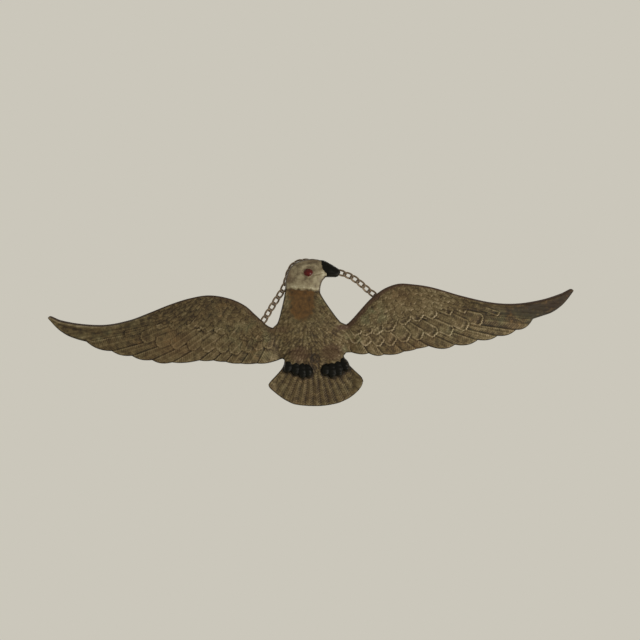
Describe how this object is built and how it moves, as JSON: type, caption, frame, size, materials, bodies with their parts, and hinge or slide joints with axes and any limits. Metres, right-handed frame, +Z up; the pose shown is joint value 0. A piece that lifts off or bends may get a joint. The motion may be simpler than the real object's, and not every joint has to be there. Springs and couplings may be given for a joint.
{
  "type": "eagle wall plaque",
  "caption": "Flat cast eagle with spread wings, fan tail and head in profile, to hang on a wall by a chain that runs behind the head from wing to wing",
  "frame": {"origin": "middle of the flat pad of the back, on the wall's plane, below the shoulders", "axes": "+X along the wingspan to the viewer's right, +Y into the wall, +Z up towards the head; the front faces -Y"},
  "size_m": [0.4725, 0.0147, 0.133],
  "materials": {
    "cast_brass": "aged brown patina, lighter on the rubbed rims of the feathers and dark in the cuts; head painted dull off-white, beak and talons painted black, eye glossy red",
    "chain_brass": "dull aged brass wire, darkened between the links"
  },
  "bodies": {
    "root": {"eagle": "cast_brass", "chain_link_01": "chain_brass", "chain_link_02": "chain_brass", "chain_link_03": "chain_brass", "chain_link_04": "chain_brass", "chain_link_05": "chain_brass", "chain_link_06": "chain_brass", "chain_link_07": "chain_brass", "chain_link_08": "chain_brass", "chain_link_09": "chain_brass", "chain_link_10": "chain_brass", "chain_link_11": "chain_brass", "chain_link_12": "chain_brass", "chain_link_13": "chain_brass", "chain_link_14": "chain_brass", "chain_link_15": "chain_brass", "chain_link_16": "chain_brass", "chain_link_17": "chain_brass", "chain_link_18": "chain_brass", "chain_link_19": "chain_brass", "chain_link_20": "chain_brass", "chain_link_21": "chain_brass", "chain_link_22": "chain_brass", "chain_link_23": "chain_brass"}
  },
  "joints": []
}
